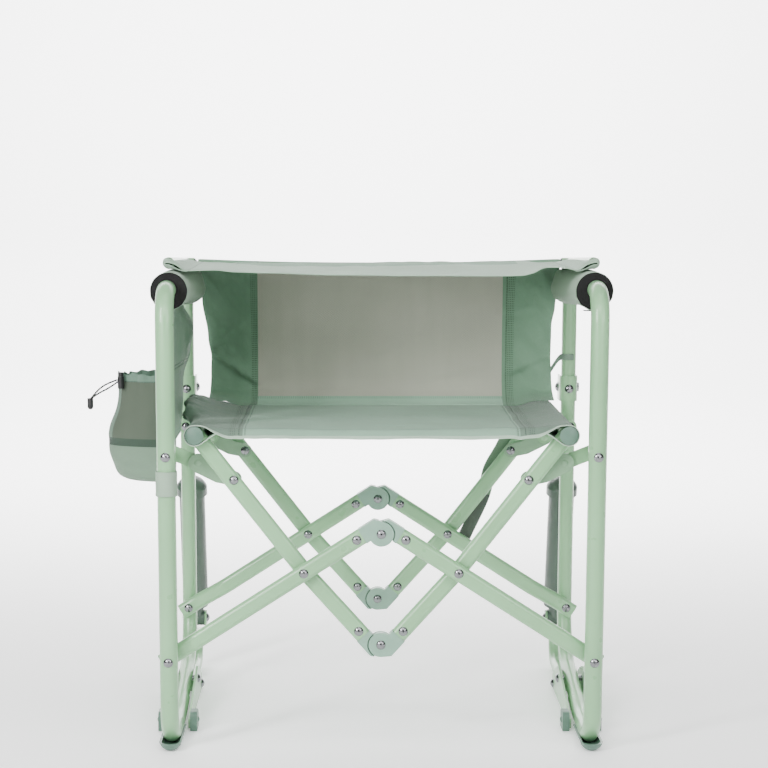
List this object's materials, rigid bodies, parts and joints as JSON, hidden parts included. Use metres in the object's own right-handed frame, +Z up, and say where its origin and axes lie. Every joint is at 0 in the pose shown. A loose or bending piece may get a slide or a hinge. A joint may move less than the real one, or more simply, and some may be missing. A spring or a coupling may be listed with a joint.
{
  "type": "folding camp rocking chair",
  "caption": "Side-folding camp rocking chair with sprung rocker bases, padded arms, mesh back and a drawstring cup holder.",
  "frame": {"origin": "centre of the footprint box of the chair without its free cord, on the floor", "axes": "+X to the side without the cup holder, -Y towards the front of the chair, +Z up"},
  "size_m": [0.7293, 0.5234, 0.6695],
  "materials": {
    "frame_paint": "pale sage powder coat, satin",
    "strut_paint": "darker sage coat on the spring housing",
    "steel": "polished steel rivets and bolts",
    "chrome_rod": "polished steel rod",
    "pale_plastic": "pale moulded plastic",
    "joint_plastic": "pale teal moulded plastic",
    "black_plastic": "black moulded plastic",
    "black_foam": "black foam tube",
    "seat_fabric": "sage polyester cloth",
    "mesh_fabric": "taupe open mesh",
    "light_fabric": "light sage cloth",
    "bag_mesh": "mesh bag with cloth base and hem",
    "webbing": "grey-green webbing",
    "black_cord": "black round cord"
  },
  "bodies": {
    "base_right": {"base_side_plates_right": "frame_paint", "base_tube_right": "frame_paint", "base_feet_right": "pale_plastic", "base_bolts_right": "steel"},
    "side_frame_right": {"front_frame_tube_right": "frame_paint", "rear_post_tube_right": "frame_paint", "front_foot_pad_right": "pale_plastic", "arm_foam_right": "black_foam", "arm_cover_right": "light_fabric", "strut_bracket_right": "frame_paint", "frame_rivets_right": "steel", "lower_back_fabric": "seat_fabric"},
    "lower_links_right": {"lower_links_right": "frame_paint", "upper_knuckles_right": "joint_plastic", "link_rivets_right": "steel"},
    "seat_links_right": {"seat_links_right": "frame_paint", "lower_knuckles_right": "joint_plastic", "seat_rail_right": "frame_paint", "seat_rail_caps_right": "pale_plastic", "seat_link_rivets_right": "steel", "seat_fabric": "seat_fabric", "carry_handle": "webbing"},
    "toggle_arms_right": {"toggle_arms_right": "joint_plastic"},
    "toggle_straps_right": {"toggle_straps_right": "frame_paint"},
    "strut_cylinder_right": {"strut_cylinder_right": "strut_paint", "strut_spring_right": "steel"},
    "strut_rod_right": {"strut_rod_right": "chrome_rod"},
    "back_right": {"back_tube_right": "frame_paint", "upper_back_fabric": "seat_fabric"},
    "base_left": {"base_side_plates_left": "frame_paint", "base_tube_left": "frame_paint", "base_feet_left": "pale_plastic", "base_bolts_left": "steel"},
    "side_frame_left": {"front_frame_tube_left": "frame_paint", "rear_post_tube_left": "frame_paint", "front_foot_pad_left": "pale_plastic", "arm_foam_left": "black_foam", "arm_cover_left": "light_fabric", "strut_bracket_left": "frame_paint", "frame_rivets_left": "steel", "cup_bag": "bag_mesh", "organizer_panel": "light_fabric", "cord_lock": "black_plastic", "cord_end": "black_plastic", "drawcord_upper": "black_cord", "drawcord_lower": "black_cord"},
    "lower_links_left": {"lower_links_left": "frame_paint", "upper_knuckles_left": "joint_plastic", "link_rivets_left": "steel"},
    "seat_links_left": {"seat_links_left": "frame_paint", "lower_knuckles_left": "joint_plastic", "seat_rail_left": "frame_paint", "seat_rail_caps_left": "pale_plastic", "seat_link_rivets_left": "steel"},
    "toggle_arms_left": {"toggle_arms_left": "joint_plastic"},
    "toggle_straps_left": {"toggle_straps_left": "frame_paint"},
    "strut_cylinder_left": {"strut_cylinder_left": "strut_paint", "strut_spring_left": "steel"},
    "strut_rod_left": {"strut_rod_left": "chrome_rod"},
    "back_left": {"back_tube_left": "frame_paint"}
  },
  "joints": [
    {"name": "rock", "type": "hinge", "parent": "base_right", "child": "side_frame_right", "pos_m": [0.32422, 0.01579, 0.037], "axis": [-1, 0, 0], "range_deg": [0, 10], "stiffness_Nm_per_rad": 60, "springref_deg": -14.32},
    {"name": "fold", "type": "hinge", "parent": "side_frame_right", "child": "lower_links_right", "pos_m": [0.32422, -0.24621, 0.126], "axis": [0, 1, 0], "range_deg": [0, 48], "deforming": ["seat_fabric", "lower_back_fabric", "upper_back_fabric", "carry_handle"]},
    {"name": "upper_knuckle_pivot", "type": "hinge", "parent": "lower_links_right", "child": "lower_links_left", "pos_m": [0.03572, -0.24621, 0.298], "axis": [0, 1, 0], "range_deg": [-96, 0]},
    {"name": "left_leg_pivot", "type": "hinge", "parent": "lower_links_left", "child": "side_frame_left", "pos_m": [-0.25278, -0.24621, 0.126], "axis": [0, 1, 0], "range_deg": [0, 48]},
    {"name": "left_base_pivot", "type": "hinge", "parent": "side_frame_left", "child": "base_left", "pos_m": [-0.25278, 0.01579, 0.037], "axis": [1, 0, 0], "range_deg": [0, 10]},
    {"name": "crossing_pivot", "type": "hinge", "parent": "lower_links_right", "child": "seat_links_right", "pos_m": [0.14113, -0.24621, 0.2437], "axis": [0, 1, 0], "range_deg": [-81.91, 0]},
    {"name": "lower_knuckle_pivot", "type": "hinge", "parent": "seat_links_right", "child": "seat_links_left", "pos_m": [0.03572, -0.24621, 0.141], "axis": [0, 1, 0], "range_deg": [0, 67.82]},
    {"name": "toggle_strap_pivot_right", "type": "hinge", "parent": "side_frame_right", "child": "toggle_straps_right", "pos_m": [0.32422, -0.24621, 0.4065], "axis": [0, 1, 0], "range_deg": [0, 96.26]},
    {"name": "toggle_strap_pivot_left", "type": "hinge", "parent": "side_frame_left", "child": "toggle_straps_left", "pos_m": [-0.25278, -0.24621, 0.4065], "axis": [0, -1, 0], "range_deg": [0, 96.26]},
    {"name": "toggle_arm_pivot_right", "type": "hinge", "parent": "seat_links_right", "child": "toggle_arms_right", "pos_m": [0.23572, -0.24621, 0.3697], "axis": [0, 1, 0], "range_deg": [0, 130.17]},
    {"name": "toggle_arm_pivot_left", "type": "hinge", "parent": "seat_links_left", "child": "toggle_arms_left", "pos_m": [-0.16428, -0.24621, 0.3697], "axis": [0, -1, 0], "range_deg": [0, 130.17]},
    {"name": "strut_foot_pivot_right", "type": "hinge", "parent": "base_right", "child": "strut_cylinder_right", "pos_m": [0.32422, 0.24879, 0.079], "axis": [-1, 0, 0], "range_deg": [0, 9.98]},
    {"name": "strut_rod_slide_right", "type": "slide", "parent": "strut_cylinder_right", "child": "strut_rod_right", "axis": [0, 0.265, -0.9642], "range_m": [0, 0.04127], "deforming": ["strut_spring_right"]},
    {"name": "strut_foot_pivot_left", "type": "hinge", "parent": "base_left", "child": "strut_cylinder_left", "pos_m": [-0.25278, 0.24879, 0.079], "axis": [-1, 0, 0], "range_deg": [0, 9.98]},
    {"name": "strut_rod_slide_left", "type": "slide", "parent": "strut_cylinder_left", "child": "strut_rod_left", "axis": [0, 0.265, -0.9642], "range_m": [0, 0.04127], "deforming": ["strut_spring_left"]},
    {"name": "back_fold", "type": "hinge", "parent": "side_frame_right", "child": "back_right", "pos_m": [0.32422, 0.12379, 0.6495], "axis": [-1, 0, 0], "range_deg": [0, 95]},
    {"name": "back_fold_left", "type": "hinge", "parent": "side_frame_left", "child": "back_left", "pos_m": [-0.25278, 0.12379, 0.6495], "axis": [-1, 0, 0], "range_deg": [0, 95]}
  ],
  "couplings": [
    {"joint": "upper_knuckle_pivot", "follows": "fold", "ratio": -2},
    {"joint": "left_leg_pivot", "follows": "fold", "ratio": 1},
    {"joint": "left_base_pivot", "follows": "rock", "ratio": 1},
    {"joint": "crossing_pivot", "follows": "fold", "ratio": -1.7065},
    {"joint": "lower_knuckle_pivot", "follows": "fold", "ratio": 1.413},
    {"joint": "toggle_strap_pivot_right", "follows": "fold", "ratio": 2.0054},
    {"joint": "toggle_strap_pivot_left", "follows": "fold", "ratio": 2.0054},
    {"joint": "toggle_arm_pivot_right", "follows": "fold", "ratio": 2.7119},
    {"joint": "toggle_arm_pivot_left", "follows": "fold", "ratio": 2.7119},
    {"joint": "strut_foot_pivot_right", "follows": "rock", "ratio": 0.99824},
    {"joint": "strut_rod_slide_right", "follows": "rock", "m_per_rad": 0.23645},
    {"joint": "strut_foot_pivot_left", "follows": "rock", "ratio": 0.99824},
    {"joint": "strut_rod_slide_left", "follows": "rock", "m_per_rad": 0.23645},
    {"joint": "back_fold_left", "follows": "back_fold", "ratio": 1}
  ]
}
